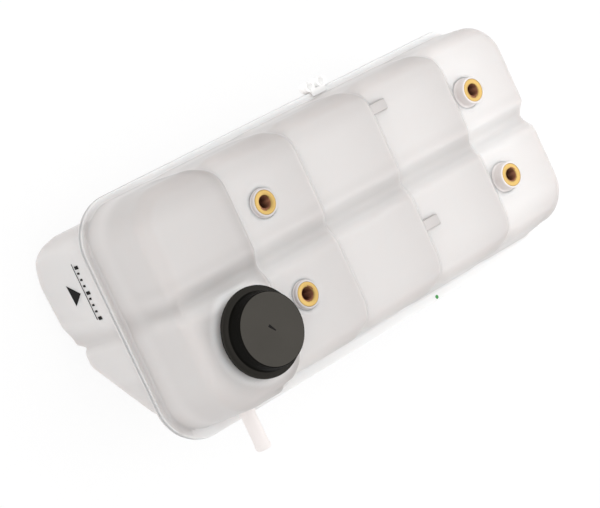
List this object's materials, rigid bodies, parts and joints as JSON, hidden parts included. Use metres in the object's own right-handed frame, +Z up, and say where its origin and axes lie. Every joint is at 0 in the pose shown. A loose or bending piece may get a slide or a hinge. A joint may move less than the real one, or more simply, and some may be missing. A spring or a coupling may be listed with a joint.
{
  "type": "coolant expansion tank",
  "caption": "Translucent welded coolant expansion tank with stepped cushion cells, brass mounting inserts, hose stubs and a black screw cap with pressure and vacuum valves.",
  "frame": {"origin": "under the middle of the tank's box, at the level of its lowest face", "axes": "+X along the tank from the cap end to the far end, +Y to the rear flange edge with the hose clip, +Z up along the filler cap's axis"},
  "size_m": [0.4, 0.2184, 0.1765],
  "materials": {
    "tank_plastic": "milky translucent polypropylene, satin",
    "clip_plastic": "natural translucent plastic",
    "brass": "turned brass",
    "cap_plastic": "black moulded plastic, satin",
    "valve_plastic": "black moulded plastic",
    "seal_rubber": "soft rubber",
    "spring_steel": "drawn wire",
    "valve_steel": "pressed stainless steel"
  },
  "bodies": {
    "root": {"upper_shell": "tank_plastic", "lower_shell": "tank_plastic", "insert_cap_rear": "brass", "insert_cap_front": "brass", "insert_far_rear": "brass", "insert_far_front": "brass", "hose_clip": "clip_plastic"},
    "cap_core": {"valve_housing": "valve_plastic", "housing_seal": "seal_rubber", "housing_lid": "valve_plastic", "pressure_spring": "spring_steel"},
    "cap": {"cap_cover": "cap_plastic"},
    "pressure_valve": {"pressure_plate": "valve_steel", "pressure_gasket": "seal_rubber", "vacuum_spring": "spring_steel"},
    "vacuum_disc": {"vacuum_valve": "valve_steel", "vacuum_seal": "seal_rubber", "vacuum_keeper": "valve_steel"}
  },
  "joints": [
    {"name": "cap_rise", "type": "slide", "parent": "root", "child": "cap_core", "axis": [0, 0, 1], "range_m": [0, 0.009]},
    {"name": "cap_turn", "type": "hinge", "parent": "cap_core", "child": "cap", "pos_m": [-0.146, -0.02616, 0.16], "axis": [0, 0, 1], "range_deg": [0, 540]},
    {"name": "pressure_lift", "type": "slide", "parent": "cap_core", "child": "pressure_valve", "axis": [0, 0, 1], "range_m": [0, 0.0025], "stiffness_N_per_m": 3000, "springref_m": -0.004, "deforming": ["pressure_spring"]},
    {"name": "vacuum_drop", "type": "slide", "parent": "pressure_valve", "child": "vacuum_disc", "axis": [0, 0, -1], "range_m": [0, 0.0015], "stiffness_N_per_m": 100, "springref_m": -0.003, "deforming": ["vacuum_spring"]}
  ],
  "couplings": [
    {"joint": "cap_turn", "follows": "cap_rise", "rad_per_m": 1047.2}
  ]
}
